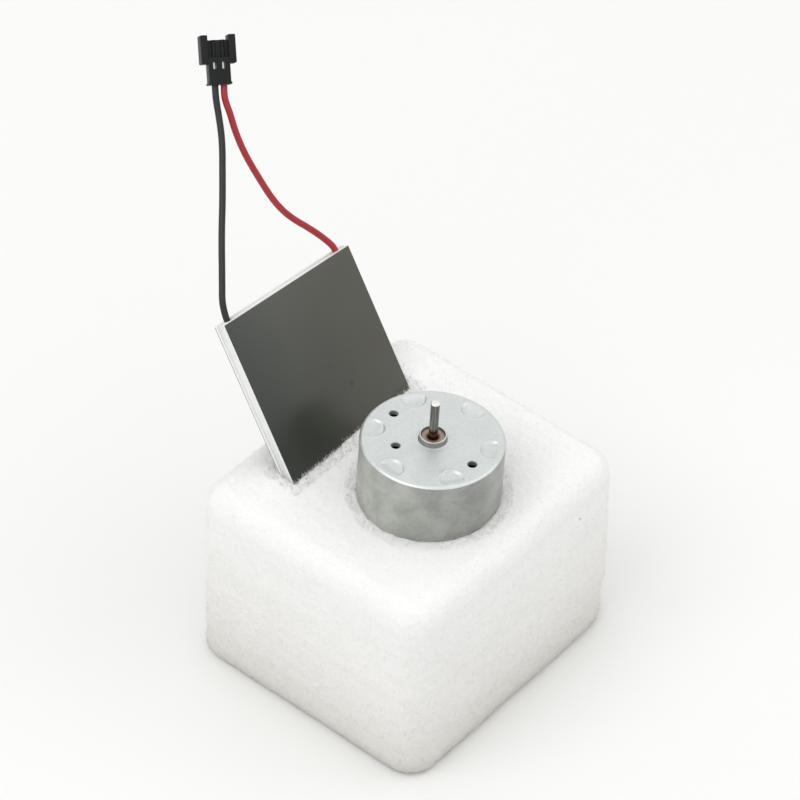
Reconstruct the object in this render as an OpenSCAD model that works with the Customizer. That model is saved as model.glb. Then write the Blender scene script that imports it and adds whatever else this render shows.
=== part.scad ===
// Energy-harvesting robot drive kit: a round DC motor and a square generator
// plate with a two-pin lead, both held in a soft foam block. Millimetres.
// Origin: centre of the foam block's underside. +Z up, the plate faces -Y.

/* [Foam block] */
// Block width, along the plate
foam_w = 71.5; // [66:0.5:90]
// Block depth, front to back
foam_d = 65; // [62:0.5:90]
// Block height
foam_h = 50.5; // [44:0.5:70]
// Height of the glue seam between the two foam layers
foam_seam = 12; // [8:1:24]
// Corner radius seen from above
foam_corner = 7; // [4:0.5:9]
// Softened top edge radius
foam_round = 3.5; // [2:0.5:4]

/* [Motor] */
// Motor can diameter
motor_d = 32; // [30:0.5:34]
// Motor can length
motor_h = 19.3; // [18.5:0.1:24]
// Shaft length above the can
shaft_out = 10.7; // [6:0.1:16]
// Depth of the motor's pocket in the foam
pocket_depth = 4; // [3:0.2:12]
// Lean of the motor in its pocket, towards +X
motor_lean = 3; // [0:0.5:5]
// Turn of the motor about its shaft
motor_turn = -2; // [-180:1:180]
// Turn of the rotor about the shaft
rotor_turn = 0; // [0:5:120]

/* [Generator plate] */
// Plate width
plate_w = 40; // [36:0.5:42]
// Plate height, its lower edge in the foam
plate_h = 44; // [42:0.5:50]
// Plate thickness over both faces
plate_t = 3.6; // [3.4:0.1:4.4]
// Lean of the plate back from upright
plate_lean = 36; // [30:1:40]
// Roll of the plate in its own plane
plate_roll = 5; // [0:1:8]

/* [Leads and connector] */
// Outside diameter of each lead
lead_d = 1.5; // [1.2:0.1:1.8]
// Connector housing depth
conn_depth = 3.9; // [3.6:0.1:4.6]

/* [Hidden] */

$fn = 96;
soft_gap = 0.3;             // clearance of foam round the pieces it holds
foot_round = 2.5;           // softened lower edge of the block
run_gap = 0.03;             // radial running clearance of the bearings
eps = 0.01;

// motor, measured up from its own base
motor_r = motor_d/2;
can_wall = 0.8;
can_top = 1.2;
can_edge = 0.8;
bore_r = motor_r - can_wall;            // inside of the can
base_x = -2;
base_y = -7;
base_z = foam_h - pocket_depth;
boss_r = 3.08;
boss_h = 1.4;
shaft_r = 1;
journal_r = shaft_r - 0.01;            // ground part of the shaft inside the can
bearing_r = 2.7;
screw_r = 1;
screw_ring = 11.5;                      // radius of the two screw holes
screw_at = [90, 270];
vent_ring = 8.5;
vent_at = 150;
cutter_z = 5;                           // cutters of the top holes start in the hollow
dimple_r = 2.7;
dimple_deep = 0.45;
dimple_ring = motor_r - 2.6;            // centres of the six stamped marks
bearing_z = motor_h - 2;                // foot of the front bearing
bearing_top = motor_h + boss_h - 0.5;
rear_bearing_z = 1;
rear_bearing_h = 1.9;
cap_z = 0.4;
cap_h = 2.2;
post_size = [2, 2.4, 5.6];              // a post on the end cap holds each terminal
post_y = 8.6;
terminal_x = 3.2;
terminal_y = 9.4;
terminal_z = 0.1;
terminal_size = [1, 0.8, 6];
tab_size = [2, 4, 0.3];
brush_x = 2.95;
brush_size = [0.9, 1.6, 1.6];
brush_z = 3.9;
spring_x = 3.5;
spring_size = [0.2, 9.8, 2];
spring_z = 3.7;
magnet_z = 6.2;
magnet_top = motor_h - can_top - 1.1;
magnet_r = bore_r - 3;
rotor_r = magnet_r - 0.5;
core_z = 8.6;
core_h = 5.6;
hub_r = 3.2;
pole_w = 2.4;
pole_in = 2;                            // poles start inside the hub
pole_t = 1.4;                           // thickness of the curved pole faces
pole_gap = 3.2;
coil_in = 4.2;
coil_size = [5.4, 6, core_h + 2.8];
coil_r = 4.7;
comm_r = 2.42;                           // outside of the commutator
comm_z = 3.5;
comm_top = 6;
comm_split = 0.3;
sleeve_r = 1.7;
sleeve_z = 3.3;
spacer_r = 2.4;                         // thicker part of the sleeve, under the varistor
varistor_r = 4;
varistor_t = 1;
washer_r = 1.9;
shaft_foot = 1.15;                      // inner end of the shaft, in the rear bearing
shaft_step = motor_h + boss_h + 0.2;    // where the full-size free end begins
relief_r = 0.8;                         // groove between journal and free end
relief_h = 0.6;
shaft_tip = 0.3;                        // chamfer at the free end
shaft_end = motor_h + shaft_out;

// plate, measured from the top left corner of its front face
plate_x = -plate_w/2 + 3;
plate_y = 39.3;
plate_z = foam_h + 31.5;
plate_yaw = 1;
sheet_t = 0.15;
ceramic_t = 0.7;
bar_t = 0.25;
seal_w = 1.2;
seal_in = 1;                            // seal sits this far inside the edges
gap_t = plate_t - 2*(sheet_t + ceramic_t);
in_y = sheet_t + ceramic_t;
mid_y = plate_t/2;
pellet_t = gap_t - 2*bar_t;
cells = 8;
pitch = 4.5;
pellet_w = 3.2;
cell_x = (plate_w - (cells - 1)*pitch)/2;
cell_z = -(plate_h - (cells - 1)*pitch)/2 - 0.6;
tail_x = [2.6, plate_w - 2.6];
tail_r = 0.4;

// connector, placed in the plate's own frame
conn_at = [26.2, 1.8, 46];
conn_turn = [-10.5, 22, -26];
pin_x = 1;
low_w = 4.8;
low_h = 4.6;
web_h = 9.8;
rail_h = 10.9;
shroud_w = 7.8;
rail_w = 1.6;
cavity = 1.4;
contact_w = 1.3;

// route of each lead in the plate's frame: across, through, up
black_route = [[2.6, 1.8, -1], [2.6, 1.8, 1], [3.4, 1.8, 4.2], [5.2, 1.8, 7.6],
    [7.2, 1.8, 11.2], [9.3, 1.8, 15], [11.5, 1.8, 18.8], [13.7, 1.8, 22.4],
    [15.8, 1.8, 26], [17.8, 1.9, 29.4], [19.7, 1.9, 32.8], [21.4, 2, 36.2],
    [22.8, 2.2, 39.6], [24.2, 2.3, 43.6], [25.4, 2.27, 46.37]];
red_route = [[37.4, 1.8, -1], [37.2, 1.8, 1.2], [35.9, 1.8, 3.7], [34.3, 1.8, 6.1],
    [32.5, 1.8, 8.5], [30.6, 1.8, 10.9], [28.9, 1.8, 13.5], [27.6, 1.8, 16.4],
    [26.7, 1.8, 19.6], [26.1, 1.8, 22.8], [25.5, 1.7, 26], [25.1, 1.7, 29.2],
    [24.9, 1.6, 32.4], [25, 1.5, 35.8], [25.4, 1.4, 39.2], [25.8, 1.37, 42.9],
    [27, 1.34, 45.63]];
lead_sides = 8;

function unit(v) = v/norm(v);
function rot_z(v, a) = [v.x*cos(a) - v.y*sin(a), v.x*sin(a) + v.y*cos(a), v.z];
function rot_x(v, a) = [v.x, v.y*cos(a) - v.z*sin(a), v.y*sin(a) + v.z*cos(a)];
function rot_y(v, a) = [v.x*cos(a) + v.z*sin(a), v.y, -v.x*sin(a) + v.z*cos(a)];
conn_up = rot_z(rot_x(rot_y([0, 0, 1], conn_turn.y), conn_turn.x), conn_turn.z);

function along(p, i) = i == 0 ? [0, 0, 1]
    : i == len(p) - 1 ? conn_up : unit(p[i + 1] - p[i - 1]);
function ring(c, t, r) = let (a = unit(cross([0, 1, 0], t)), b = cross(t, a))
    [for (k = [0:lead_sides - 1])
        c + r*(cos(360*k/lead_sides)*a + sin(360*k/lead_sides)*b)];

module tube(p, r) {
    s = lead_sides;
    n = len(p);
    polyhedron(
        points = [for (i = [0:n - 1]) each ring(p[i], along(p, i), r)],
        faces = concat(
            [[for (k = [0:s - 1]) k]],
            [for (i = [0:n - 2], k = [0:s - 1]) let (j = (k + 1) % s)
                [i*s + k, (i + 1)*s + k, (i + 1)*s + j]],
            [for (i = [0:n - 2], k = [0:s - 1]) let (j = (k + 1) % s)
                [i*s + k, (i + 1)*s + j, i*s + j]],
            [[for (k = [s - 1:-1:0]) (n - 1)*s + k]]));
}

module at_motor() {
    translate([base_x, base_y, base_z])
        rotate([0, motor_lean, 0])
            rotate([0, 0, motor_turn])
                children();
}

module at_rotor() {
    at_motor() rotate([0, 0, rotor_turn]) children();
}

module at_plate() {
    translate([plate_x, plate_y, plate_z])
        rotate([0, 0, plate_yaw])
            rotate([-plate_lean, 0, 0])
                rotate([0, plate_roll, 0])
                    children();
}

module at_connector() {
    at_plate()
        translate(conn_at)
            rotate([0, 0, conn_turn.z])
                rotate([conn_turn.x, 0, 0])
                    rotate([0, conn_turn.y, 0])
                        children();
}

// slab of the block between two heights, one end with softened edges
module soft_slab(z0, z1, edge, top) {
    hull()
        for (sx = [-1, 1], sy = [-1, 1], a = [0:18:90])
            translate([sx*(foam_w/2 - foam_corner), sy*(foam_d/2 - foam_corner), top
                    ? (a == 0 ? z0 : z1 - edge + edge*sin(a) - eps)
                    : (a == 0 ? z1 - eps : z0 + edge - edge*sin(a))])
                cylinder(r = foam_corner - edge + edge*cos(a), h = eps, $fn = 32);
    hull()
        for (sx = [-1, 1], sy = [-1, 1], z = top ? [z0, z1 - edge] : [z0 + edge, z1])
            translate([sx*(foam_w/2 - foam_corner), sy*(foam_d/2 - foam_corner),
                    z == z0 ? z : z - eps])
                cylinder(r = foam_corner, h = eps, $fn = 32);
}

module ring_solid(r1, r0, z0, z1) {
    translate([0, 0, z0])
        difference() {
            cylinder(r = r1, h = z1 - z0);
            translate([0, 0, -1]) cylinder(r = r0, h = z1 - z0 + 2);
        }
}

// ---------------------------------------------------------------- foam

module foam_base_layer() {
    color("white") soft_slab(0, foam_seam, foot_round, false);
}

module foam_top_layer() {
    color("white")
        difference() {
            soft_slab(foam_seam, foam_h, foam_round, true);
            at_motor()
                translate([0, 0, -soft_gap])
                    cylinder(r = motor_r + soft_gap, h = motor_h);
            at_plate()
                translate([-soft_gap, -soft_gap, -plate_h - soft_gap])
                    cube([plate_w + 2*soft_gap, plate_t + 2*soft_gap, plate_h]);
        }
}

// ---------------------------------------------------------------- motor

module motor_can() {
    color("silver")
        at_motor()
            difference() {
                union() {
                    cylinder(r = motor_r, h = motor_h - can_edge);
                    cylinder(r = motor_r - can_edge, h = motor_h);
                    translate([0, 0, motor_h - can_edge])
                        rotate_extrude()
                            translate([motor_r - can_edge, 0])
                                circle(r = can_edge);
                    cylinder(r = boss_r, h = motor_h + boss_h);
                }
                translate([0, 0, -1]) cylinder(r = bore_r, h = motor_h - can_top + 1);
                cylinder(r = bearing_r, h = shaft_end);
                for (a = screw_at)
                    rotate([0, 0, a])
                        translate([screw_ring, 0, cutter_z]) cylinder(r = screw_r, h = motor_h);
                rotate([0, 0, vent_at])
                    translate([vent_ring, 0, cutter_z]) cylinder(r = screw_r, h = motor_h);
                for (a = [0:60:300])
                    rotate([0, 0, a])
                        translate([dimple_ring, 0, motor_h - dimple_deep])
                            cylinder(r = dimple_r, h = 2);
            }
}

module front_bearing() {
    color("sienna")
        at_motor()
            ring_solid(bearing_r, journal_r + run_gap, bearing_z, bearing_top);
}

// two equal boxes either side of the motor's middle
module pair(x, size, y, z) {
    for (s = [-1, 1])
        translate([s*x - size.x/2, y, z]) cube(size);
}

module end_cap() {
    color("dimgray")
        at_motor()
            difference() {
                union() {
                    translate([0, 0, cap_z]) cylinder(r = bore_r, h = cap_h);
                    pair(terminal_x, post_size, post_y, cap_z);
                }
                translate([0, 0, rear_bearing_z]) cylinder(r = bearing_r, h = cap_h);
                pair(terminal_x, terminal_size + [0, 0, 1], terminal_y, 0);
            }
}

module rear_bearing() {
    color("sienna")
        at_motor()
            ring_solid(bearing_r, journal_r + run_gap, rear_bearing_z,
                rear_bearing_z + rear_bearing_h);
}

module magnet_ring() {
    color("dimgray") at_motor() ring_solid(bore_r, magnet_r, magnet_z, magnet_top);
}

module brushes() {
    color("black") at_motor() pair(brush_x, brush_size, -brush_size.y/2, brush_z);
}

module brush_springs() {
    color("goldenrod") at_motor() pair(spring_x, spring_size, -1.2, spring_z);
}

module motor_terminals() {
    color("gold")
        at_motor() {
            pair(terminal_x, terminal_size, terminal_y, terminal_z);
            pair(terminal_x, tab_size, terminal_y, terminal_z);
        }
}

// ---------------------------------------------------------------- rotor

module motor_shaft() {
    color("gainsboro")
        at_rotor() {
            translate([0, 0, shaft_foot])
                cylinder(r = journal_r, h = shaft_step - relief_h - shaft_foot);
            translate([0, 0, shaft_step - relief_h]) cylinder(r = relief_r, h = relief_h);
            translate([0, 0, shaft_step])
                cylinder(r = shaft_r, h = shaft_end - shaft_tip - shaft_step);
            translate([0, 0, shaft_end - shaft_tip])
                cylinder(r1 = shaft_r, r2 = shaft_r - shaft_tip, h = shaft_tip);
        }
}

module rotor_core() {
    color("gray")
        at_rotor()
            difference() {
                union() {
                    translate([0, 0, core_z]) cylinder(r = hub_r, h = core_h);
                    for (a = [0:120:240])
                        rotate([0, 0, a])
                            translate([pole_in, -pole_w/2, core_z])
                                cube([rotor_r - pole_in - pole_t/2, pole_w, core_h]);
                    difference() {
                        ring_solid(rotor_r, rotor_r - pole_t, core_z, core_z + core_h);
                        for (a = [60:120:300])
                            rotate([0, 0, a])
                                translate([0, -pole_gap/2, core_z - 1])
                                    cube([rotor_r + 2, pole_gap, core_h + 2]);
                    }
                }
                translate([0, 0, core_z - 1]) cylinder(r = journal_r, h = core_h + 2);
            }
}

module windings() {
    color("chocolate")
        at_rotor()
            for (a = [0:120:240])
                rotate([0, 0, a])
                    difference() {
                        intersection() {
                            translate([coil_in, -coil_size.y/2,
                                    core_z + core_h/2 - coil_size.z/2])
                                cube(coil_size);
                            translate([0, 0, core_z + core_h/2])
                                rotate([0, 90, 0]) cylinder(r = coil_r, h = rotor_r);
                        }
                        translate([0, -pole_w/2, core_z]) cube([rotor_r, pole_w, core_h]);
                    }
}

module commutator() {
    color("peru")
        at_rotor()
            difference() {
                ring_solid(comm_r, sleeve_r, comm_z, comm_top);
                for (a = [60:120:300])
                    rotate([0, 0, a])
                        translate([0, -comm_split/2, 0]) cube([hub_r, comm_split, core_z]);
            }
}

module commutator_sleeve() {
    color("tan")
        at_rotor()
            difference() {
                union() {
                    translate([0, 0, sleeve_z]) cylinder(r = sleeve_r, h = core_z - sleeve_z);
                    translate([0, 0, comm_top]) cylinder(r = spacer_r, h = core_z - comm_top);
                }
                cylinder(r = journal_r, h = core_z + core_h);
            }
}

module varistor_ring() {
    z = comm_top + 0.1;
    color("darkslategray") at_rotor() ring_solid(varistor_r, spacer_r, z, z + varistor_t);
}

module front_washer() {
    color("ivory")
        at_rotor() ring_solid(washer_r, journal_r, core_z + core_h, bearing_z - 0.1);
}

module rear_washer() {
    color("ivory")
        at_rotor()
            ring_solid(sleeve_r, journal_r, rear_bearing_z + rear_bearing_h + 0.1, sleeve_z);
}

// ---------------------------------------------------------------- plate

module skin(y, t) {
    at_plate() translate([0, y, -plate_h]) cube([plate_w, t, plate_h]);
}

module plate_front_sheet() {
    color("dimgray") skin(0, sheet_t);
}

module plate_front_ceramic() {
    color("white") skin(sheet_t, ceramic_t);
}

module plate_rear_ceramic() {
    color("white") skin(plate_t - sheet_t - ceramic_t, ceramic_t);
}

module plate_rear_sheet() {
    color("dimgray") skin(plate_t - sheet_t, sheet_t);
}

module plate_seal() {
    color("whitesmoke")
        at_plate()
            difference() {
                translate([seal_in/2, in_y, -plate_h + seal_in/2])
                    cube([plate_w - seal_in, gap_t, plate_h - 1.5*seal_in]);
                translate([seal_in/2 + seal_w, in_y - 1, -plate_h + seal_in/2 + seal_w])
                    cube([plate_w - seal_in - 2*seal_w, gap_t + 2,
                        plate_h - 1.5*seal_in - 2*seal_w]);
                for (x = tail_x)
                    translate([x, mid_y, -4]) cylinder(r = tail_r, h = 9);
            }
}

// cell n of the chain: down one column and up the next
function cell(n) = let (c = floor(n/cells), r = n % cells)
    [cell_x + c*pitch, 0, cell_z - (c % 2 == 0 ? r : cells - 1 - r)*pitch];

module pellets(first) {
    at_plate()
        for (n = [first:2:cells*cells - 1])
            translate(cell(n) + [-pellet_w/2, in_y + bar_t, -pellet_w/2])
                cube([pellet_w, pellet_t, pellet_w]);
}

module bar(a, b, y) {
    lo = [min(a.x, b.x), 0, min(a.z, b.z)];
    translate(lo + [-pellet_w/2, y, -pellet_w/2])
        cube([abs(a.x - b.x) + pellet_w, bar_t, abs(a.z - b.z) + pellet_w]);
}

module p_pellets() {
    color("darkgray") pellets(0);
}

module n_pellets() {
    color("gray") pellets(1);
}

module front_bars() {
    color("peru")
        at_plate()
            for (n = [0:2:cells*cells - 2]) bar(cell(n), cell(n + 1), in_y);
}

module rear_bars() {
    last = cells*cells - 1;
    color("peru")
        at_plate() {
            for (n = [1:2:last - 2]) bar(cell(n), cell(n + 1), in_y + gap_t - bar_t);
            for (n = [0, last])
                bar(cell(n), cell(n) + [0, 0, 1.2], in_y + gap_t - bar_t);
        }
}

module lead_tails() {
    end = cell(0).z + pellet_w/2 + 0.2;
    color("silver")
        at_plate()
            for (x = tail_x) {
                translate([x, mid_y, end]) cylinder(r = tail_r, h = -seal_in - end);
                translate([x - 0.8, mid_y, end]) cube([1.6, gap_t/2 - bar_t, 0.9]);
            }
}

// ---------------------------------------------------------------- leads

module black_lead() {
    color("black") at_plate() tube(black_route, lead_d/2);
}

module red_lead() {
    color("crimson") at_plate() tube(red_route, lead_d/2);
}

module connector_housing() {
    d = conn_depth;
    color("black")
        at_connector()
            difference() {
                union() {
                    translate([-low_w/2, -d/2, 0]) cube([low_w, d, low_h + 1]);
                    translate([-low_w/2 - 0.2, -d/2, 0]) cube([low_w + 0.4, d, 0.5]);
                    translate([-shroud_w/2, -d/2 + 0.9, low_h])
                        cube([shroud_w, d - 0.9, web_h - low_h]);
                    translate([-shroud_w/2, -d/2, low_h]) cube([shroud_w, d, 1.4]);
                    for (s = [-1, 1])
                        translate([s > 0 ? shroud_w/2 - rail_w : -shroud_w/2, -d/2, low_h])
                            cube([rail_w, d, rail_h - low_h]);
                    for (x = [-pin_x, pin_x])
                        translate([x, -d/2 + 0.9, low_h]) cylinder(r = 0.45, h = web_h - low_h);
                }
                for (x = [-pin_x, pin_x]) {
                    translate([x - cavity/2, -cavity/2, -1]) cube([cavity, cavity, rail_h + 2]);
                    translate([x - 0.4, -d, low_h - 1.2]) cube([0.8, d, 1.6]);
                }
            }
}

module connector_contacts() {
    w = contact_w;
    color("silver")
        at_connector()
            for (x = [-pin_x, pin_x])
                difference() {
                    translate([x - w/2, -w/2, 0]) cube([w, w, web_h - 0.4]);
                    translate([x - 0.35, -0.35, 3]) cube([0.7, 0.7, web_h]);
                }
}

foam_base_layer();
foam_top_layer();
motor_can();
front_bearing();
end_cap();
rear_bearing();
magnet_ring();
brushes();
brush_springs();
motor_terminals();
motor_shaft();
rotor_core();
windings();
commutator();
commutator_sleeve();
varistor_ring();
front_washer();
rear_washer();
plate_front_sheet();
plate_front_ceramic();
front_bars();
p_pellets();
n_pellets();
rear_bars();
plate_rear_ceramic();
plate_rear_sheet();
plate_seal();
lead_tails();
black_lead();
red_lead();
connector_housing();
connector_contacts();
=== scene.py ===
"""Motor and generator plate in a foam block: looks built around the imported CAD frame."""

import math

import bmesh
import bpy
import numpy as np
from mathutils import Matrix, Vector


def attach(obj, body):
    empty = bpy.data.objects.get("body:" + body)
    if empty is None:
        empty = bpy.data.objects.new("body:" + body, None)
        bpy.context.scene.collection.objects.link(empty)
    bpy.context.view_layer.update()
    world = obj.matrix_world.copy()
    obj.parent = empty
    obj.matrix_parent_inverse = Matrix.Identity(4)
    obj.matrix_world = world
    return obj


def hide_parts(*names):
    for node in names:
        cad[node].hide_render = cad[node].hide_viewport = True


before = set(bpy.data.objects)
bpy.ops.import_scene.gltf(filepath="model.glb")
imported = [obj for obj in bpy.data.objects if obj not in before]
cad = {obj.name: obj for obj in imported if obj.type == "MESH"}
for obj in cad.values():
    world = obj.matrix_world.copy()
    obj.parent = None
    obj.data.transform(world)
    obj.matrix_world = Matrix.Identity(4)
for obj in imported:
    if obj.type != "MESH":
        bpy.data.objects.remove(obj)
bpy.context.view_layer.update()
MM = 0.001

# ------------------------------------------------------------ sizes, in mm
# foam: width, depth and height, then how round its upright corners, top rim and foot are
W, D, H, CORNER, ROUND, FOOT = 71.5, 65.0, 50.5, 7.0, 5.0, 2.5
DRAW_IN = 0.75                    # how far each side leans in by the top
GRIP, PRESS = 0.3, 0.15           # how far the foam overlaps the can and the plate
DARK_CRUMB = (20.9, -31.9, 40.7)  # dark speck on the block's -Y side

# motor: the can's radius and length, how round its rim is, and its walls
R, LEN, EDGE, TOP_WALL, SIDE_WALL = 16.0, 19.3, 0.8, 1.2, 0.8
DIMPLE_AT, DIMPLE_R, DIMPLE_DEEP = 13.4, 2.75, 0.36
HOLE_R = 1.0                      # screw holes and vent
TIP = 30.0                        # end of the shaft, in the motor's own frame

# plate: width, height and thickness, then one sheet and one ceramic
PW, PH, PT, SHEET, CER = 40.0, 44.0, 3.6, 0.15, 0.7
SPOT = (25.6, 0, -27.2)           # small mark on the front of the plate, in its own frame
LEAD_D = 1.5                      # thickness of both leads


# ------------------------------------------------------------------ frames
def turn(axis, degrees):
    return Matrix.Rotation(math.radians(degrees), 4, axis)


def shift(x, y, z):
    return Matrix.Translation(Vector((x, y, z)) * MM)


# where the motor, the plate and the connector stand at rest
MOTOR = shift(-2, -7, 46.5) @ turn("Y", 3) @ turn("Z", -2)
PLATE = shift(-17, 39.3, 82) @ turn("Z", 1) @ turn("X", -36) @ turn("Y", 5)
CONN = PLATE @ shift(26.2, 1.8, 46) @ turn("Z", -26) @ turn("X", -10.5) @ turn("Y", 22)


# ------------------------------------------------------------------ camera
def make_camera():
    """Long lens, from the photo's side."""
    data = bpy.data.cameras.new("camera")
    cam = bpy.data.objects.new("camera", data)
    bpy.context.scene.collection.objects.link(cam)
    data.sensor_width = 36.0
    data.lens = 226.161
    data.clip_start, data.clip_end = 0.05, 20.0
    heading, pitch, roll = (math.radians(a) for a in (50.75, 44.32, 1.47))
    right = Vector((math.cos(heading), -math.sin(heading), 0))
    look = Vector((math.cos(pitch) * math.sin(heading), math.cos(pitch) * math.cos(heading),
                   -math.sin(pitch)))
    up = right.cross(look)
    r = right * math.cos(roll) + up * math.sin(roll)
    u = up * math.cos(roll) - right * math.sin(roll)
    m = Matrix((r, u, -look)).transposed().to_4x4()
    m.translation = Vector((-606.8, -492.47, 835.36)) * MM
    cam.matrix_world = m
    bpy.context.scene.camera = cam


make_camera()


# --------------------------------------------------------------- materials
class Tree:
    """A material's nodes, written in few words."""

    def __init__(self, name):
        self.mat = bpy.data.materials.new(name)
        self.mat.use_nodes = True
        self.nodes = self.mat.node_tree.nodes
        self.links = self.mat.node_tree.links
        self.shader = self.nodes["Principled BSDF"]
        self.coord = self.nodes.new("ShaderNodeTexCoord").outputs["Object"]

    def put(self, socket, value):
        if isinstance(value, bpy.types.NodeSocket):
            self.links.new(value, socket)
        else:
            socket.default_value = value

    def add(self, kind, out=0, settings=None, **inputs):
        """New node; its inputs go by name, or as i0, i1 and so on by number."""
        node = self.nodes.new("ShaderNode" + kind)
        for k, v in (settings or {}).items():
            setattr(node, k, v)
        for k, v in inputs.items():
            name = k.replace("_", " ")
            key = int(k[1:]) if k[0] == "i" and k[1:].isdigit() else name
            self.put(node.inputs[key], v)
        return node.outputs[out]

    def set(self, **inputs):
        for k, v in inputs.items():
            self.put(self.shader.inputs[k.replace("_", " ")], v)

    def noise(self, scale, detail=2.0, rough=0.5, coord=None, distort=0.0):
        return self.add("TexNoise", 0, Vector=coord or self.coord, Scale=scale,
                        Detail=detail, Roughness=rough, Distortion=distort)

    def ramp(self, fac, stops):
        node = self.nodes.new("ShaderNodeValToRGB")
        self.links.new(fac, node.inputs[0])
        el = node.color_ramp.elements
        while len(el) < len(stops):
            el.new(0.5)
        for e, (at, colour) in zip(el, stops):
            e.position = at
            e.color = (*colour, 1) if len(colour) == 3 else colour
        return node.outputs[0]

    def maths(self, op, a, b):
        return self.add("Math", 0, {"operation": op}, i0=a, i1=b)

    def mix(self, fac, a, b, mode="MIX"):
        node = self.nodes.new("ShaderNodeMix")
        node.data_type = "RGBA"
        node.blend_type = mode
        self.put(node.inputs[0], fac)
        self.put(node.inputs[6], a)
        self.put(node.inputs[7], b)
        return node.outputs[2]

    def stretched(self, x, y, z):
        return self.add("Mapping", 0, Vector=self.coord, Scale=(x, y, z))

    def bump(self, height, distance, strength, normal=None):
        node = self.nodes.new("ShaderNodeBump")
        self.links.new(height, node.inputs["Height"])
        node.inputs["Distance"].default_value = distance
        node.inputs["Strength"].default_value = strength
        if normal is not None:
            self.links.new(normal, node.inputs["Normal"])
        return node.outputs[0]


def grey(v):
    return (v, v, v)


def foam_material():
    t = Tree("foam_white")
    crumb = t.noise(1900.0, 3.0, 0.65)
    fine = t.noise(4200.0, 2.0, 0.6)
    big = t.noise(75.0, 3.0, 0.55)
    height = t.add("SeparateXYZ", 2, Vector=t.coord)
    depth = t.maths("MULTIPLY", height, 1 / (H * MM))
    # darker towards the floor: the photo's contact shade, painted on by height
    fade = t.ramp(depth, [(0.02, (0.62, 0.605, 0.565)), (0.085, (0.78, 0.765, 0.725)),
                          (0.24, (0.86, 0.85, 0.82)), (0.55, (0.95, 0.945, 0.925)),
                          (0.95, (1.0, 1.0, 0.99))])
    shade = t.ramp(crumb, [(0.3, grey(0.94)), (0.55, grey(1.0))])
    tone = t.ramp(big, [(0.3, (0.985, 0.983, 0.98)), (0.7, (1, 1, 1))])
    layer = t.ramp(t.noise(300.0, 2.0, 0.5, t.stretched(0.06, 0.06, 1)),
                   [(0.35, grey(0.975)), (0.6, grey(1.0))])
    away = t.add("VectorMath", 1, {"operation": "DISTANCE"}, i0=t.coord,
                 i1=tuple(Vector(DARK_CRUMB) * MM))
    crumb_mark = t.ramp(t.maths("MULTIPLY", away, 1 / MM), [(0.2, grey(0.6)), (0.5, grey(1.0))])
    colour = t.mix(1.0, fade, shade, "MULTIPLY")
    for tint in (tone, layer, crumb_mark):
        colour = t.mix(1.0, colour, tint, "MULTIPLY")
    t.set(Base_Color=colour, Roughness=0.95)
    t.shader.inputs["Specular IOR Level"].default_value = 0.15
    t.shader.inputs["Subsurface Weight"].default_value = 0.15
    t.shader.inputs["Subsurface Radius"].default_value = (1.0, 1.0, 0.95)
    t.shader.inputs["Subsurface Scale"].default_value = 0.0015
    t.set(Normal=t.bump(fine, 0.00012, 0.6, t.bump(crumb, 0.0003, 0.7)))
    return t.mat


def can_material(name, light, dark, rough, metallic=0.85, shaded=False):
    t = Tree(name)
    blotch = t.noise(160.0, 4.0, 0.6, distort=0.6)
    grain = t.noise(1500.0, 3.0, 0.65)
    fine = t.noise(5200.0, 2.0, 0.5)
    tone = t.ramp(blotch, [(0.34, dark), (0.66, light)])
    speck = t.ramp(grain, [(0.3, grey(0.93)), (0.7, grey(1.04))])
    if shaded:
        # not a mark of the real plating: the photo's light and shade on the can, painted
        # on along the photo camera's left and right
        across = t.add("VectorMath", 1, {"operation": "DOT_PRODUCT"}, i0=t.coord,
                       i1=(-0.63, 0.77, 0))
        side = t.maths("ADD", t.maths("MULTIPLY", across, 1 / (2 * R * MM)), 0.5)
        shade = t.ramp(side, [(0.0, grey(0.82)), (0.08, grey(0.76)), (0.2, grey(0.7)),
                              (0.5, grey(0.73)), (0.75, grey(0.92)), (0.95, grey(1.0))])
        tone = t.mix(1.0, tone, shade, "MULTIPLY")
    t.set(Base_Color=t.mix(1.0, tone, speck, "MULTIPLY"))
    t.shader.inputs["Metallic"].default_value = metallic
    t.set(Roughness=t.ramp(blotch, [(0.2, grey(rough - 0.05)), (0.8, grey(rough + 0.08))]))
    n = t.bump(grain, 0.00003, 0.5)
    t.set(Normal=t.bump(fine, 0.00001, 0.5, n))
    return t.mat


def bronze_material():
    t = Tree("sintered_bronze")
    flat = t.add("VectorMath", 0, {"operation": "MULTIPLY"}, i0=t.coord, i1=(1, 1, 0))
    d = t.add("VectorMath", 1, {"operation": "LENGTH"}, i0=flat)
    ring = t.maths("MULTIPLY", d, 1 / (3 * MM))     # 1 is 3 mm from the shaft's axis
    grain = t.noise(9000.0, 3.0, 0.7)
    tone = t.ramp(ring, [(0.36, (0.12, 0.066, 0.037)), (0.45, (0.18, 0.1, 0.06)),
                         (0.54, (0.42, 0.31, 0.26)), (0.8, (0.5, 0.4, 0.345)),
                         (0.9, (0.33, 0.26, 0.225))])
    speck = t.ramp(grain, [(0.35, grey(0.72)), (0.65, grey(1.12))])
    t.set(Base_Color=t.mix(1.0, tone, speck, "MULTIPLY"),
          Roughness=t.ramp(ring, [(0.45, grey(0.42)), (0.6, grey(0.5))]))
    t.shader.inputs["Metallic"].default_value = 0.8
    t.set(Normal=t.bump(grain, 0.00003, 0.6))
    return t.mat


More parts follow.
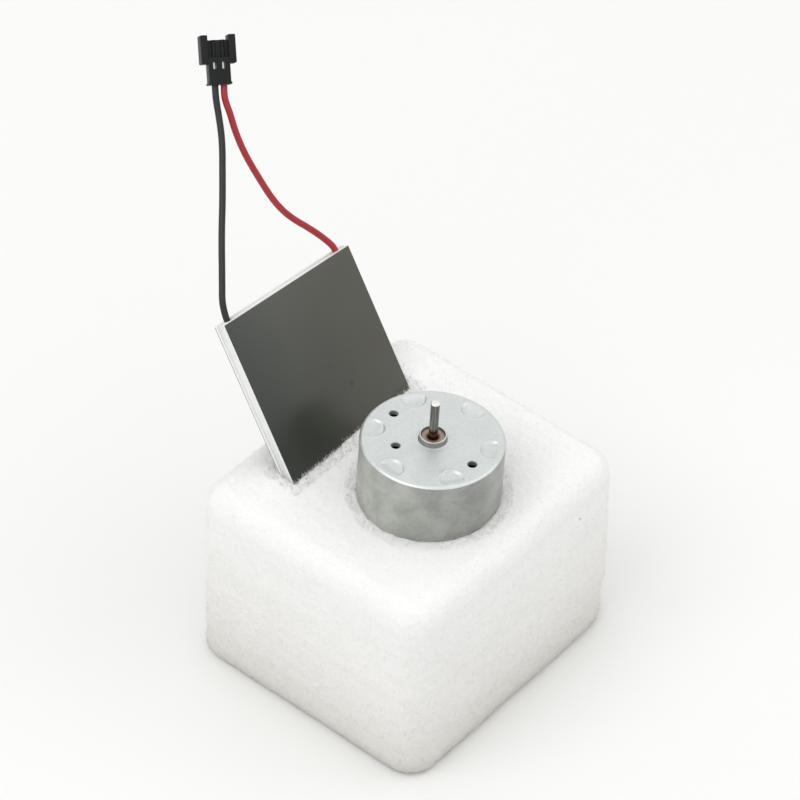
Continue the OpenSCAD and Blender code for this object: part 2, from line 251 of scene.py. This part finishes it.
def metal(name, colour, rough, grain=2500.0, stretch=(1, 1, 1)):
    t = Tree(name)
    g = t.noise(grain, 3.0, 0.6, t.stretched(*stretch))
    lo = tuple(c * 0.88 for c in colour)
    t.set(Base_Color=t.ramp(g, [(0.3, lo), (0.7, colour)]),
          Roughness=t.ramp(g, [(0.3, grey(rough * 0.8)), (0.7, grey(min(1, rough * 1.25)))]))
    t.shader.inputs["Metallic"].default_value = 1.0
    t.set(Normal=t.bump(g, 0.00002, 0.4))
    return t.mat


def shaft_material():
    """Ground steel: dark sides with fine lines along them, a painted highlight on the end and a
    painted reflection of the bronze, in brown, at the foot.
    """
    t = Tree("shaft_steel")
    line = t.noise(2600.0, 3.0, 0.6, t.stretched(1, 1, 0.02))
    side = t.ramp(line, [(0.32, (0.06, 0.059, 0.053)), (0.5, (0.135, 0.132, 0.12)),
                         (0.68, (0.29, 0.28, 0.262))])
    z = t.add("SeparateXYZ", 2, Vector=t.coord)
    # the end is painted near white, far paler than the sides of the same steel: a painted highlight
    # on the tip
    end = t.maths("GREATER_THAN", z, (TIP - 0.42) * MM)
    high = t.maths("MULTIPLY", z, 1 / (40 * MM))    # 1 is 40 mm up the motor's axis
    # brown at the foot of the shaft: a painted reflection of the bronze bush
    brown = t.ramp(high, [(0.53, grey(0.9)), (0.585, grey(0.0))])
    side = t.mix(brown, side, (0.16, 0.082, 0.042, 1))
    t.set(Base_Color=t.mix(end, side, (0.95, 0.95, 0.93, 1)),
          Roughness=t.ramp(line, [(0.3, grey(0.16)), (0.7, grey(0.26))]))
    t.shader.inputs["Metallic"].default_value = 1.0
    t.set(Normal=t.bump(line, 0.00002, 0.4))
    return t.mat


def dull(name, colour, rough, grain=900.0, contrast=0.08, depth=0.00003, shine=0.5):
    t = Tree(name)
    t.shader.inputs["Specular IOR Level"].default_value = shine
    g = t.noise(grain, 4.0, 0.6)
    f = t.noise(grain * 5, 2.0, 0.5)
    lo = tuple(c * (1 - contrast) for c in colour)
    hi = tuple(min(1, c * (1 + contrast)) for c in colour)
    t.set(Base_Color=t.ramp(g, [(0.3, lo), (0.7, hi)]),
          Roughness=t.ramp(f, [(0.3, grey(rough - 0.05)), (0.7, grey(rough + 0.05))]))
    t.set(Normal=t.bump(f, depth, 0.5, t.bump(g, depth * 2, 0.4)))
    return t.mat


def graphite_material():
    t = Tree("graphite_sheet_dark")
    big = t.noise(60.0, 3.0, 0.5)
    grain = t.noise(2200.0, 3.0, 0.6)
    across = t.maths("MULTIPLY", t.add("SeparateXYZ", 0, Vector=t.coord), 1 / (PW * MM))
    # the photo's sheen from side to side of the plate, painted on by its width
    side = t.ramp(across, [(0.0, (0.013, 0.019, 0.013)), (0.35, (0.036, 0.040, 0.029)),
                           (0.6, (0.043, 0.043, 0.030)), (1.0, (0.056, 0.054, 0.038))])
    soft = t.ramp(big, [(0.3, grey(0.93)), (0.7, grey(1.07))])
    tone = t.mix(1.0, side, soft, "MULTIPLY")
    away = t.add("VectorMath", 1, {"operation": "DISTANCE"}, i0=t.coord,
                 i1=tuple(Vector(SPOT) * MM))
    away = t.maths("MULTIPLY", away, 1 / (2 * MM))
    mark = t.ramp(away, [(0.12, (0.24, 0.34, 0.26)), (0.42, grey(1.0))])
    speck = t.ramp(grain, [(0.3, grey(0.94)), (0.7, grey(1.04))])
    t.set(Base_Color=t.mix(1.0, t.mix(1.0, tone, mark, "MULTIPLY"), speck, "MULTIPLY"),
          Roughness=t.ramp(big, [(0.3, grey(0.27)), (0.7, grey(0.33))]))
    t.shader.inputs["Specular IOR Level"].default_value = 0.95
    t.set(Normal=t.bump(grain, 0.000002, 0.4, t.bump(big, 0.00005, 0.3)))
    return t.mat


def lead_material(name, colour):
    t = Tree(name)
    rough = 0.38
    g = t.noise(1200.0, 3.0, 0.6)
    f = t.noise(6000.0, 2.0, 0.5)
    lo = tuple(c * 0.85 for c in colour)
    t.set(Base_Color=t.ramp(g, [(0.3, lo), (0.7, colour)]),
          Roughness=t.ramp(f, [(0.3, grey(rough - 0.06)), (0.7, grey(rough + 0.08))]),
          Normal=t.bump(f, 0.00001, 0.5))
    return t.mat


FOAM = foam_material()
# one zinc plating in three copies: the cap painted paler, the side and the collar darker, as
# painted light and shade
CAP = can_material("zinc_cap", (0.76, 0.80, 0.785), (0.71, 0.75, 0.735), 0.42)
SIDE = can_material("zinc_side", (0.55, 0.562, 0.523), (0.385, 0.398, 0.368), 0.42, 0.45, True)
COLLAR = can_material("zinc_collar", (0.34, 0.345, 0.33), (0.26, 0.265, 0.25), 0.4)
BRONZE = bronze_material()
STEEL = shaft_material()
GRAPHITE = graphite_material()
CERAMIC = dull("white_ceramic", (0.86, 0.865, 0.85), 0.45, 1500.0, 0.02, 0.00001)
SEAL = dull("white_silicone", (0.84, 0.85, 0.835), 0.5, 500.0, 0.03, 0.00006)
BLACK_LEAD = lead_material("black_insulation", (0.0165, 0.0165, 0.0175))
RED_LEAD = lead_material("red_insulation", (0.405, 0.02, 0.027))
BLACK_NYLON = dull("black_nylon", (0.005, 0.0062, 0.006), 0.5, 2500.0, 0.15, 0.00001, 0.3)
TIN = metal("tinned_contact", (0.86, 0.86, 0.85), 0.2)

CAD_LOOKS = {
    "end_cap": dull("black_end_cap", (0.03, 0.03, 0.032), 0.5),
    "rear_bearing": metal("rear_bronze", (0.4, 0.24, 0.16), 0.5, 9000.0),
    "magnet_ring": dull("ferrite", (0.06, 0.06, 0.062), 0.7),
    "brushes": dull("carbon", (0.03, 0.03, 0.03), 0.55, 6000.0),
    "brush_springs": metal("spring_bronze", (0.75, 0.5, 0.25), 0.3),
    "motor_terminals": metal("terminal_brass", (0.8, 0.62, 0.32), 0.3),
    "rotor_core": metal("core_steel", (0.45, 0.46, 0.48), 0.45, 2500.0, (1, 1, 14)),
    "windings": metal("enamelled_copper", (0.62, 0.26, 0.1), 0.28, 1800.0, (1, 1, 9)),
    "commutator": metal("commutator_copper", (0.78, 0.42, 0.25), 0.25),
    "commutator_sleeve": dull("sleeve_resin", (0.5, 0.36, 0.2), 0.5),
    "varistor_ring": dull("varistor_ceramic", (0.08, 0.11, 0.14), 0.6),
    "front_washer": dull("washer_nylon", (0.8, 0.8, 0.74), 0.5),
    "rear_washer": dull("washer_nylon_rear", (0.8, 0.8, 0.74), 0.5),
    "front_bars": metal("front_copper", (0.76, 0.4, 0.24), 0.35),
    "rear_bars": metal("rear_copper", (0.76, 0.4, 0.24), 0.35),
    "p_pellets": metal("p_alloy", (0.46, 0.46, 0.48), 0.4, 4000.0),
    "n_pellets": metal("n_alloy", (0.5, 0.49, 0.5), 0.4, 4000.0),
    "lead_tails": metal("soldered_tails", (0.74, 0.75, 0.77), 0.3),
}
for node, mat in CAD_LOOKS.items():
    cad[node].data.materials.clear()
    cad[node].data.materials.append(mat)


# ----------------------------------------------------------------- helpers
def link(name, mesh, mats):
    obj = bpy.data.objects.new(name, mesh)
    bpy.context.scene.collection.objects.link(obj)
    for m in mats if isinstance(mats, (list, tuple)) else [mats]:
        mesh.materials.append(m)
    mesh.polygons.foreach_set("use_smooth", [True] * len(mesh.polygons))
    return obj


def from_data(name, verts, faces, mats):
    mesh = bpy.data.meshes.new(name)
    mesh.from_pydata([tuple(v) for v in verts], [], faces)
    mesh.update()
    return link(name, mesh, mats)


def settle(obj):
    """The object's modifiers become its mesh."""
    bpy.context.view_layer.update()
    dg = bpy.context.evaluated_depsgraph_get()
    mesh = bpy.data.meshes.new_from_object(obj.evaluated_get(dg), depsgraph=dg)
    obj.modifiers.clear()
    obj.data = mesh


def drop(*objs):
    for o in objs:
        bpy.data.objects.remove(o)


def tidy(obj):
    """Welds doubles and turns faces outward."""
    bm = bmesh.new()
    bm.from_mesh(obj.data)
    bmesh.ops.remove_doubles(bm, verts=bm.verts, dist=1e-7)
    bmesh.ops.recalc_face_normals(bm, faces=bm.faces)
    bm.to_mesh(obj.data)
    bm.free()


def lathe(name, profile, mats, steps, shape=None, material_of=None):
    """Closed profile of (radius, height) in mm turned about Z; shape() may move a point up."""
    n = len(profile)
    verts, faces = [], []
    for k in range(steps):
        a = 2 * math.pi * k / steps
        for r, z in profile:
            if shape:
                z = shape(r, z, a)
            verts.append((r * math.cos(a) * MM, r * math.sin(a) * MM, z * MM))
    for k in range(steps):
        j = (k + 1) % steps
        for i in range(n):
            i2 = (i + 1) % n
            faces.append((k * n + i, j * n + i, j * n + i2, k * n + i2))
    obj = from_data(name, verts, faces, mats)
    if material_of:
        for p in obj.data.polygons:
            p.material_index = material_of(p)
    tidy(obj)
    return obj


def arc(cx, cz, r, a0, a1, n):
    """Points on part of a circle, ends included."""
    return [(cx + r * math.cos(math.radians(a0 + (a1 - a0) * i / n)),
             cz + r * math.sin(math.radians(a0 + (a1 - a0) * i / n))) for i in range(n + 1)]


def span(a, b, n, z):
    """Points between two radii at one height, ends left out."""
    return [(a + (b - a) * i / n, z) for i in range(1, n)]


def block(name, low, high, mats, bevel=0.0, segments=3, place=None):
    """Box between two corners in mm, with rounded edges."""
    bm = bmesh.new()
    bmesh.ops.create_cube(bm, size=1.0)
    lo, hi = Vector(low) * MM, Vector(high) * MM
    for v in bm.verts:
        v.co = Vector((lo[i] + (hi[i] - lo[i]) * (v.co[i] + 0.5) for i in range(3)))
    if bevel:
        bmesh.ops.bevel(bm, geom=bm.edges[:], offset=bevel * MM, segments=segments,
                        profile=0.5, affect="EDGES")
    mesh = bpy.data.meshes.new(name)
    bm.to_mesh(mesh)
    bm.free()
    obj = link(name, mesh, mats)
    if place:
        obj.matrix_world = place
    return obj


def cylinder(name, r, z0, z1, mats, steps, place, r_top=None):
    """Cylinder about Z from z0 to z1 in mm; r_top makes it a cone."""
    bm = bmesh.new()
    bmesh.ops.create_cone(bm, cap_ends=True, segments=steps, radius1=r * MM,
                          radius2=(r if r_top is None else r_top) * MM, depth=(z1 - z0) * MM)
    bmesh.ops.translate(bm, vec=(0, 0, (z0 + z1) / 2 * MM), verts=bm.verts)
    mesh = bpy.data.meshes.new(name)
    bm.to_mesh(mesh)
    bm.free()
    obj = link(name, mesh, mats)
    obj.matrix_world = place
    return obj


def cut(obj, cutters, mode="DIFFERENCE"):
    """Takes the cutters away from the object, or joins them to it, and drops them."""
    for c in cutters:
        m = obj.modifiers.new("cut", "BOOLEAN")
        m.object, m.operation, m.solver = c, mode, "EXACT"
    settle(obj)
    drop(*cutters)


def displace(obj, name, size, strength, depth=2):
    """Pushes the surface in and out by cloud noise, half of the strength each way."""
    tex = bpy.data.textures.new(name, "CLOUDS")
    tex.noise_scale = size
    tex.noise_depth = depth
    m = obj.modifiers.new(name, "DISPLACE")
    m.texture, m.strength, m.mid_level, m.texture_coords = tex, strength, 0.5, "LOCAL"


# ------------------------------------------------------------------- leads
# both in mm, in the plate's frame, from inside the plate to the connector
BLACK_ROUTE = [(2.6, 1.8, -1), (2.6, 1.8, 1), (3.4, 1.8, 4.2), (5.2, 1.8, 7.6),
               (7.2, 1.8, 11.2), (9.3, 1.8, 15), (11.5, 1.8, 18.8), (13.7, 1.8, 22.4),
               (15.8, 1.8, 26), (17.8, 1.9, 29.4), (19.7, 1.9, 32.8), (21.4, 2, 36.2),
               (22.8, 2.2, 39.6), (24.2, 2.3, 43.6), (25.4, 2.27, 46.37)]
RED_ROUTE = [(37.4, 1.8, -1), (37.2, 1.8, 1.2), (35.9, 1.8, 3.7), (34.3, 1.8, 6.1),
             (32.5, 1.8, 8.5), (30.6, 1.8, 10.9), (28.9, 1.8, 13.5), (27.6, 1.8, 16.4),
             (26.7, 1.8, 19.6), (26.1, 1.8, 22.8), (25.5, 1.7, 26), (25.1, 1.7, 29.2),
             (24.9, 1.6, 32.4), (25, 1.5, 35.8), (25.4, 1.4, 39.2), (25.8, 1.37, 42.9),
             (27, 1.34, 45.63)]


def lead(name, route, mat, node):
    """Stiff wire along a route in the plate's frame, square to the plate and the connector."""
    pts = [PLATE @ (Vector(p) * MM) for p in route]
    data = bpy.data.curves.new(name, "CURVE")
    data.dimensions = "3D"
    data.bevel_depth = LEAD_D / 2 * MM
    data.bevel_resolution = 8
    data.resolution_u = 8
    data.use_fill_caps = True
    s = data.splines.new("BEZIER")
    s.bezier_points.add(len(pts) - 1)
    for i, p in enumerate(pts):
        b = s.bezier_points[i]
        before, after = pts[max(i - 1, 0)], pts[min(i + 1, len(pts) - 1)]
        t = (after - before).normalized()
        if i == 0:
            t = (PLATE.to_3x3() @ Vector((0, 0, 1))).normalized()
        if i == len(pts) - 1:
            t = (CONN.to_3x3() @ Vector((0, 0, 1))).normalized()
        b.co = p
        b.handle_left = p - t * (p - before).length / 3
        b.handle_right = p + t * (after - p).length / 3
    data.materials.append(mat)
    obj = bpy.data.objects.new(name, data)
    bpy.context.scene.collection.objects.link(obj)
    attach(obj, "plate")
    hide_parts(node)
    length = sum((b - a).length for a, b in zip(pts, pts[1:]))
    return obj, pts[0], length


black, black_exit, black_length = lead("black_lead_wire", BLACK_ROUTE, BLACK_LEAD, "black_lead")
red, red_exit, red_length = lead("red_lead_wire", RED_ROUTE, RED_LEAD, "red_lead")


# --------------------------------------------------------------- connector
def connector():
    """Two-pin housing with side rails, ribs, tunnels and windows, and its pair of contacts."""
    # depth, width, where the wide part starts, its web's end, rail width, the rails' end
    d, w, low, web, rail, top = 3.9, 7.8, 4.6, 9.8, 1.6, 10.9
    pins_at = (-1, 1)
    body = block("connector_body", (-2.4, -d / 2, 0), (2.4, d / 2, low + 1), BLACK_NYLON, 0.2)
    parts = [
        block("c1", (-2.6, -d / 2, 0), (2.6, d / 2, 0.5), BLACK_NYLON, 0.12),
        block("c2", (-w / 2, -d / 2 + 0.9, low), (w / 2, d / 2, web), BLACK_NYLON, 0.2),
        block("c3", (-w / 2, -d / 2, low), (w / 2, d / 2, low + 1.4), BLACK_NYLON, 0.22),
        block("c4", (-w / 2, -d / 2, low), (-w / 2 + rail, d / 2, top), BLACK_NYLON, 0.22),
        block("c5", (w / 2 - rail, -d / 2, low), (w / 2, d / 2, top), BLACK_NYLON, 0.22),
    ]
    for i, x in enumerate(pins_at):
        parts.append(cylinder(f"rib{i}", 0.45, low + 0.2, web, BLACK_NYLON, 32,
                              shift(x, -d / 2 + 0.9, 0)))
    cut(body, parts, "UNION")
    holes = []
    for i, x in enumerate(pins_at):
        holes.append(block(f"t{i}", (x - 0.7, -0.7, -1), (x + 0.7, 0.7, top + 1), BLACK_NYLON))
        holes.append(block(f"w{i}", (x - 0.4, -d, low - 1.2), (x + 0.4, 0, low + 0.4),
                           BLACK_NYLON, 0.15, 2))
    cut(body, holes)
    tidy(body)
    body.data.polygons.foreach_set("use_smooth", [True] * len(body.data.polygons))
    body.data.set_sharp_from_angle(angle=math.radians(35))
    body.matrix_world = CONN
    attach(body, "plate")
    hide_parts("connector_housing")

    pins = block("contact_pair", (-1.65, -0.65, 0), (-0.35, 0.65, web - 0.4), TIN, 0.12)
    twin = block("twin", (0.35, -0.65, 0), (1.65, 0.65, web - 0.4), TIN, 0.12)
    cut(pins, [twin], "UNION")
    cut(pins, [block(f"s{i}", (x - 0.35, -0.35, 3), (x + 0.35, 0.35, web + 1), TIN)
               for i, x in enumerate(pins_at)])
    tidy(pins)
    pins.data.set_sharp_from_angle(angle=math.radians(35))
    pins.matrix_world = CONN
    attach(pins, "plate")
    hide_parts("connector_contacts")
    return body, pins


housing, contacts = connector()


# ------------------------------------------------------------------- motor
def smoothstep(x):
    x = min(max(x, 0.0), 1.0)
    return x * x * (3 - 2 * x)


def stamped(r, z, a):
    """The can's top with its six half-moon stamped marks, each with a soft lip round it."""
    if z < LEN - EDGE * 0.6 or r < 10 or r > R:
        return z
    x, y = r * math.cos(a), r * math.sin(a)
    deep = 0.0
    for k in range(6):
        b = math.radians(60 * k)
        rho = math.hypot(x - DIMPLE_AT * math.cos(b), y - DIMPLE_AT * math.sin(b))
        edge = smoothstep((DIMPLE_R - rho) / 0.35)
        lip = 0.2 * math.exp(-((rho - DIMPLE_R - 0.15) / 0.28) ** 2)
        deep = max(deep, edge) if edge > 0.01 else deep - lip
    fade = 1 - smoothstep((r - 13.0) / 2.0)
    return z - DIMPLE_DEEP * deep * fade


def motor_can():
    """Can with its collar, screw holes and vent."""
    bore = 2.7                    # where the bearing sits
    collar = [(bore, 1.25), (2.74, 1.36), (2.82, 1.4), (2.93, 1.4), (3.02, 1.35), (3.08, 1.22),
              (3.08, 0.3), (3.12, 0.12), (3.28, 0.01)]    # radius, height above the top
    profile = [(r, LEN + z) for r, z in collar]
    profile += span(3.28, 10.4, 10, LEN)
    profile += span(10.4, R - EDGE, 60, LEN)
    profile += arc(R - EDGE, LEN - EDGE, EDGE, 90, 0, 12)
    profile += [(R, LEN * k / 12) for k in range(11, 0, -1)]
    profile += [(R, 0.3), (R - 0.1, 0.08), (R - 0.3, 0), (R - 0.65, 0), (R - SIDE_WALL, 0.12),
                (R - SIDE_WALL, LEN - TOP_WALL), (bore, LEN - TOP_WALL)]

    def face_mat(p):
        """Collar, flat top or side."""
        c = p.center
        if math.hypot(c.x, c.y) < 3.2 * MM and 0.02 * MM < c.z - LEN * MM < 1.3 * MM:
            return 2
        flat = p.normal.z > 0.55 or p.normal.z < -0.55
        return 0 if flat and c.z > 10 * MM else 1

    obj = lathe("motor_can_shell", profile, [CAP, SIDE, COLLAR], 504, stamped, face_mat)
    holes = []
    # angle and distance from the axis of two screw holes and the vent; the turn keeps the
    # cutters' corners off the can's own
    for i, (a, r) in enumerate(((90, 11.5), (270, 11.5), (150, 8.5))):
        at = (r * math.cos(math.radians(a)), r * math.sin(math.radians(a)), 0)
        place = shift(*at) @ turn("Z", 3)
        holes.append(cylinder(f"hole{i}", HOLE_R, 15, 24, SIDE, 48, place))
        holes.append(cylinder(f"sink{i}", 0.98, LEN - 0.16, LEN + 0.16, SIDE, 50, place, 1.3))
    cut(obj, holes)
    obj.data.set_sharp_from_angle(angle=math.radians(40))
    obj.matrix_world = MOTOR
    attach(obj, "motor")
    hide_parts("motor_can")


motor_can()

bush = lathe("front_bush", [(1.02, LEN + 0.6), (1.12, LEN + 0.72), (1.55, LEN + 0.78),
                            (1.65, LEN + 0.84), (2.5, LEN + 0.86), (2.69, LEN + 0.76),
                            (2.69, LEN - 2), (1.02, LEN - 2)], BRONZE, 96)
bush.matrix_world = MOTOR
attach(bush, "motor")
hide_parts("front_bearing")

shaft = lathe("motor_shaft_steel", [(0.001, TIP), (0.35, TIP - 0.01), (0.6, TIP - 0.05)]
              + arc(0.72, TIP - 0.33, 0.28, 80, 0, 6)
              + [(1.0, z) for z in (28, 25, 22, 20.9)]
              + [(0.99, z) for z in (20.8, 16, 10, 4, 1.4)] + [(0.9, 1.15), (0.001, 1.15)],
              STEEL, 64)
shaft.matrix_world = MOTOR
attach(shaft, "rotor")
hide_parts("motor_shaft")


# -------------------------------------------------------------------- foam
DENTS = ((14.4, 1.0), (10.8, 0.8), (5.9, 0.9))   # height and size of each dent
DENT_DEEP, STEP_DEEP, STEP_HIGH, STEP_REACH = 0.55, 0.75, 12.5, 9.0
SIDE_PILE, TOP_PILE = 0.4, 0.5   # how far the pile may stand past the block
TOP_BAND = 2.0                   # faces this near the top belong to it
MOTOR_LIP, PLATE_LIP = 2.6, 2.4  # width of the fluffy lips
# number of fibres, the shortest and the longest
NAPS = {"nap_all_over": (19500, 0.3, 0.9), "nap_round_motor": (5000, 0.4, 1.3),
        "nap_round_plate": (5500, 0.5, 1.6)}
rng = np.random.default_rng(7)


def rounded_block(name):
    """Block with rounded upright corners, a softened top rim and a smaller one below."""
    rows = [(FOOT - FOOT * math.sin(a), FOOT * (1 - math.cos(a)))
            for a in np.radians(np.linspace(90, 0, 9))]
    rows += [(H - ROUND + ROUND * math.sin(a), ROUND * (1 - math.cos(a)))
             for a in np.radians(np.linspace(0, 90, 11))]
    ring = [(sx, sy, math.radians(90 * k + a))
            for k, (sx, sy) in enumerate(((1, 1), (-1, 1), (-1, -1), (1, -1)))
            for a in np.linspace(0, 90, 13)]
    verts, faces, n = [], [], len(ring)
    for z, inset in rows:
        inset += DRAW_IN * z / H
        r = max(CORNER - inset, 0.3)
        for sx, sy, a in ring:
            cx, cy = sx * (W / 2 - inset - r), sy * (D / 2 - inset - r)
            verts.append(((cx + r * math.cos(a)) * MM, (cy + r * math.sin(a)) * MM, z * MM))
    for i in range(len(rows) - 1):
        for k in range(n):
            j = (k + 1) % n
            faces.append((i * n + k, i * n + j, (i + 1) * n + j, (i + 1) * n + k))
    faces.append(tuple(reversed(range(n))))
    faces.append(tuple((len(rows) - 1) * n + k for k in range(n)))
    return from_data(name, verts, faces, FOAM)


def get_co(mesh):
    co = np.empty(len(mesh.vertices) * 3)
    mesh.vertices.foreach_get("co", co)
    return co.reshape(-1, 3)


def knocks(co):
    """Small dents down the left upright corner, and a shallow step low on the right one."""
    out = co.copy()
    corner = np.array((-W / 2, D / 2)) * MM
    for z, r in DENTS:
        d = np.hypot(np.hypot(*(co[:, :2] - corner).T) / 3.0, co[:, 2] - z * MM) / (r * MM)
        out[:, :2] -= (np.sign(corner) * DENT_DEEP * MM) * np.exp(-d ** 2)[:, None]
    corner = np.array((W / 2, -D / 2)) * MM
    near = np.exp(-(np.hypot(*(co[:, :2] - corner).T) / (STEP_REACH * MM)) ** 2)
    below = 1 / (1 + np.exp((co[:, 2] - STEP_HIGH * MM) / (0.5 * MM)))
    out[:, :2] -= (np.sign(corner) * STEP_DEEP * MM) * (near * below)[:, None]
    return out


def foam_block():
    """Both foam layers as one block, with the pocket and a lumpy skin."""
    obj = rounded_block("foam_block")
    pocket = cylinder("pocket", R - GRIP, -0.05, 30, FOAM, 128, MOTOR)
    slit = block("slit", (PRESS, PRESS, -PH - 0.25), (PW - PRESS, PT - PRESS, 0), FOAM, 0, 1, PLATE)
    cut(obj, [pocket, slit])
    m = obj.modifiers.new("even", "REMESH")
    m.mode, m.voxel_size = "VOXEL", 0.51 * MM
    m = obj.modifiers.new("soften", "SMOOTH")
    m.factor, m.iterations = 0.5, 2
    displace(obj, "lumps", 10 * MM, 0.4 * MM)
    displace(obj, "crumb", 1.3 * MM, 0.48 * MM)
    displace(obj, "fuzz", 0.5 * MM, 0.42 * MM, depth=3)
    settle(obj)
    mesh = obj.data
    mesh.polygons.foreach_set("use_smooth", [True] * len(mesh.polygons))
    co = knocks(get_co(mesh))
    for i, half in enumerate((W / 2 + SIDE_PILE, D / 2 + SIDE_PILE)):
        co[:, i] = np.clip(co[:, i], -half * MM, half * MM)
    co[:, 2] = np.clip(co[:, 2], 0, (H + TOP_PILE) * MM)
    mesh.vertices.foreach_set("co", co.ravel())
    mesh.update()
    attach(obj, "foam")
    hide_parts("foam_top_layer", "foam_base_layer")
    return obj


def fibres(name, base, along, length, width):
    """Short curled hairs, each a closed three-sided spike, from roots and directions."""
    n = len(base)
    side = np.cross(along, rng.normal(size=(n, 3)))
    side /= np.linalg.norm(side, axis=1)[:, None]
    other = np.cross(along, side)
    curl = side * (length * rng.uniform(-0.35, 0.35, n))[:, None]
    verts = np.empty((n, 7, 3))
    for i in range(3):
        a = 2 * math.pi * i / 3
        ring = (side * math.cos(a) + other * math.sin(a)) * (width / 2)[:, None]
        verts[:, i] = base + ring
        verts[:, 3 + i] = base + along * (length * 0.55)[:, None] + curl * 0.4 + ring * 0.8
    verts[:, 6] = base + along * length[:, None] + curl
    one = [(2, 1, 0), (0, 1, 4, 3), (1, 2, 5, 4), (2, 0, 3, 5), (3, 4, 6), (4, 5, 6), (5, 3, 6)]
    faces = [tuple(7 * k + i for i in f) for k in range(n) for f in one]
    obj = from_data(name, verts.reshape(-1, 3).tolist(), faces, FOAM)
    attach(obj, "foam")


def foam_nap(foam):
    """Fluff all over the foam, thicker at the lips of the pocket and of the slot."""
    mesh = foam.data
    count = len(mesh.polygons)
    centre, normal = np.empty(count * 3), np.empty(count * 3)
    mesh.polygons.foreach_get("center", centre)
    mesh.polygons.foreach_get("normal", normal)
    centre, normal = centre.reshape(-1, 3), normal.reshape(-1, 3)

    def local(place):
        m = np.array(place.inverted())
        return (centre @ m[:3, :3].T + m[:3, 3]) / MM

    mo, pl = local(MOTOR), local(PLATE)
    outside = (normal[:, 2] > 0.2) | (centre[:, 2] < (H - 5.5) * MM)
    rho = np.hypot(mo[:, 0], mo[:, 1])
    top = centre[:, 2] > (H - TOP_BAND) * MM
    round_motor = top & (rho > R - GRIP) & (rho < R + MOTOR_LIP)
    gap = np.maximum(np.maximum(-pl[:, 0], pl[:, 0] - PW), np.maximum(-pl[:, 1], pl[:, 1] - PT))
    inside = (rho < R - GRIP) | (gap < -0.2)
    round_plate = top & ~inside & (gap < PLATE_LIP)
    shell = outside & ~inside & (centre[:, 2] > 0.6 * MM)
    x, y = np.abs(centre[:, 0]), np.abs(centre[:, 1])
    near_face = (x > (W / 2 - 5) * MM) | (y > (D / 2 - 5) * MM)
    shell &= near_face | (centre[:, 2] > (H - 4) * MM)

    for (name, (number, low, high)), where in zip(NAPS.items(), (shell, round_motor, round_plate)):
        pick = rng.choice(np.flatnonzero(where), number // (1))
        along = normal[pick] + rng.normal(size=(len(pick), 3)) * 0.75
        along[:, 2] = np.where(top[pick], np.abs(along[:, 2]), along[:, 2])
        along /= np.linalg.norm(along, axis=1)[:, None]
        length = rng.uniform(low, high, len(pick)) * MM
        fibres(name, centre[pick] - normal[pick] * 0.1 * MM, along, length,
               rng.uniform(0.05, 0.09, len(pick)) * MM)


foam = foam_block()
foam_nap(foam)


# ------------------------------------------------------------------- plate
def plate_part(name, low, high, mat, bevel, node):
    obj = block(name, low, high, mat, bevel, 3, PLATE)
    obj.data.set_sharp_from_angle(angle=math.radians(40))
    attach(obj, "plate")
    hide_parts(node)


plate_part("front_graphite", (0.06, 0, -PH + 0.06), (PW - 0.06, SHEET, -0.06), GRAPHITE, 0.05,
           "plate_front_sheet")
plate_part("front_ceramic", (0, SHEET, -PH), (PW, SHEET + CER, 0), CERAMIC, 0.04,
           "plate_front_ceramic")
plate_part("rear_ceramic", (0, PT - SHEET - CER, -PH), (PW, PT - SHEET, 0), CERAMIC, 0.04,
           "plate_rear_ceramic")
plate_part("rear_graphite", (0, PT - SHEET, -PH), (PW, PT, -0.3), GRAPHITE, 0.03,
           "plate_rear_sheet")


def seal():
    """Silicone frame round the plate's edge, between the two ceramics."""
    wall = 1.7
    y0, y1 = SHEET + CER, PT - SHEET - CER
    outer = block("edge_seal", (0.01, y0, -PH + 0.3), (PW - 0.01, y1, -0.02), SEAL)
    inner = block("seal_inside", (wall, y0 - 1, -PH + wall), (PW - wall, y1 + 1, -2.2), SEAL)
    cut(outer, [inner])
    outer.matrix_world = PLATE
    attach(outer, "plate")
    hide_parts("plate_seal")


seal()


# ------------------------------------------------------- floor and light
def stage():
    """White floor, pale sky and two lamps; sizes here are in metres."""
    mesh = bpy.data.meshes.new("floor")
    s = 6.0                       # half of the floor's side
    mesh.from_pydata([(-s, -s, 0), (s, -s, 0), (s, s, 0), (-s, s, 0)], [], [(0, 1, 2, 3)])
    floor = bpy.data.objects.new("floor", mesh)
    bpy.context.scene.collection.objects.link(floor)
    floor.location.z = -0.05 * MM    # clear of the foam's foot
    t = Tree("floor_white")
    t.set(Base_Color=t.ramp(t.noise(3.0), [(0.3, (0.9, 0.9, 0.89)), (0.7, (0.91, 0.91, 0.9))]),
          Roughness=0.7)
    t.shader.inputs["Specular IOR Level"].default_value = 0.1
    mesh.materials.append(t.mat)

    world = bpy.data.worlds.new("studio")
    bpy.context.scene.world = world
    world.use_nodes = True
    nodes, links = world.node_tree.nodes, world.node_tree.links
    coord = nodes.new("ShaderNodeTexCoord")
    split = nodes.new("ShaderNodeSeparateXYZ")
    ramp = nodes.new("ShaderNodeValToRGB")
    links.new(coord.outputs["Generated"], split.inputs[0])
    links.new(split.outputs["Z"], ramp.inputs[0])
    el = ramp.color_ramp.elements
    el[0].position, el[0].color = 0.0, (0.62, 0.62, 0.615, 1)
    el[1].position, el[1].color = 0.75, (1, 1, 1, 1)
    links.new(ramp.outputs[0], nodes["Background"].inputs["Color"])
    nodes["Background"].inputs["Strength"].default_value = 0.965

    aim = Vector((0, 0, 0.04))
    for name, at, size, power in (("key", (-0.76, 0.2, 1.2), 0.9, 4.0),
                                  ("fill", (0.75, -0.6, 1.0), 0.8, 1.3)):
        data = bpy.data.lights.new(name, "AREA")
        data.size, data.energy = size, power
        lamp = bpy.data.objects.new(name, data)
        bpy.context.scene.collection.objects.link(lamp)
        lamp.location = at
        lamp.rotation_mode = "QUATERNION"
        lamp.rotation_quaternion = (aim - Vector(at)).to_track_quat("-Z", "Y")


stage()
bpy.context.scene.view_settings.view_transform = "Standard"
bpy.context.scene.view_settings.look = "None"
